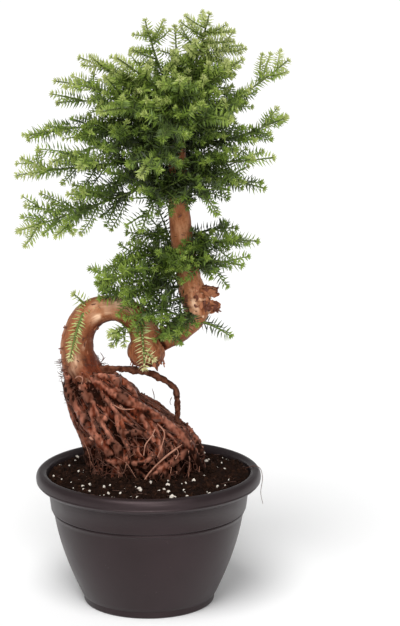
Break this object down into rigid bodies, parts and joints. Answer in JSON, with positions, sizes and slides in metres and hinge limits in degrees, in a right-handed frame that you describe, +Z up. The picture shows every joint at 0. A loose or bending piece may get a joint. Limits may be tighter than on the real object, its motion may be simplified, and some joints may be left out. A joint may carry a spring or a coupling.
{
  "type": "potted bunya pine bonsai",
  "caption": "Bonsai conifer with a snaking bare trunk on a wide root flare, a rounded crown of short prickly needles and a smaller tier below, in a round bowl pot filled with soil.",
  "frame": {"origin": "centre of the pot's flat underside, on the surface it stands on", "axes": "+Z up along the pot's axis, +X to the viewer's right in the picture, +Y away from the viewer"},
  "size_m": [0.2782, 0.2296, 0.6032],
  "materials": {
    "pot": "satin moulded plastic, anthracite",
    "soil": "crumbly dark potting soil",
    "root": "rough red-brown roots",
    "bark": "fibrous orange-brown bark",
    "needles": "stiff green needles"
  },
  "bodies": {
    "root": {"aerial_root_drop": "root", "aerial_root_run": "root", "foliage_arch_droop": "needles", "foliage_arch_inner": "needles", "foliage_arch_up": "needles", "foliage_burl_shoot": "needles", "foliage_heel_droop": "needles", "foliage_low_left": "needles", "foliage_low_left_back": "needles", "foliage_low_left_front": "needles", "foliage_low_right": "needles", "foliage_low_right_back": "needles", "foliage_low_right_front": "needles", "foliage_mid_back": "needles", "foliage_mid_front": "needles", "foliage_mid_hang": "needles", "foliage_mid_left": "needles", "foliage_t1_back_left": "needles", "foliage_t1_back_right": "needles", "foliage_t1_front_left": "needles", "foliage_t1_front_right": "needles", "foliage_t1_left": "needles", "foliage_t1_right": "needles", "foliage_t2_back": "needles", "foliage_t2_back_left": "needles", "foliage_t2_front": "needles", "foliage_t2_front_left": "needles", "foliage_t2_left": "needles", "foliage_t2_right": "needles", "foliage_t3_back": "needles", "foliage_t3_back_right": "needles", "foliage_t3_front": "needles", "foliage_t3_front_right": "needles", "foliage_t3_left": "needles", "foliage_t3_right": "needles", "foliage_t4_back_left": "needles", "foliage_t4_front_left": "needles", "foliage_t4_left": "needles", "foliage_t4_right": "needles", "foliage_t5_back": "needles", "foliage_t5_front": "needles", "foliage_t5_front_left": "needles", "foliage_t5_left": "needles", "foliage_t5_right": "needles", "foliage_top_far_right": "needles", "foliage_top_left": "needles", "foliage_top_middle": "needles", "foliage_top_right": "needles", "pot": "pot", "soil": "soil", "trunk_arch": "bark", "trunk_base": "root", "trunk_rise": "bark", "trunk_stem": "bark", "trunk_turn": "bark"}
  },
  "joints": []
}
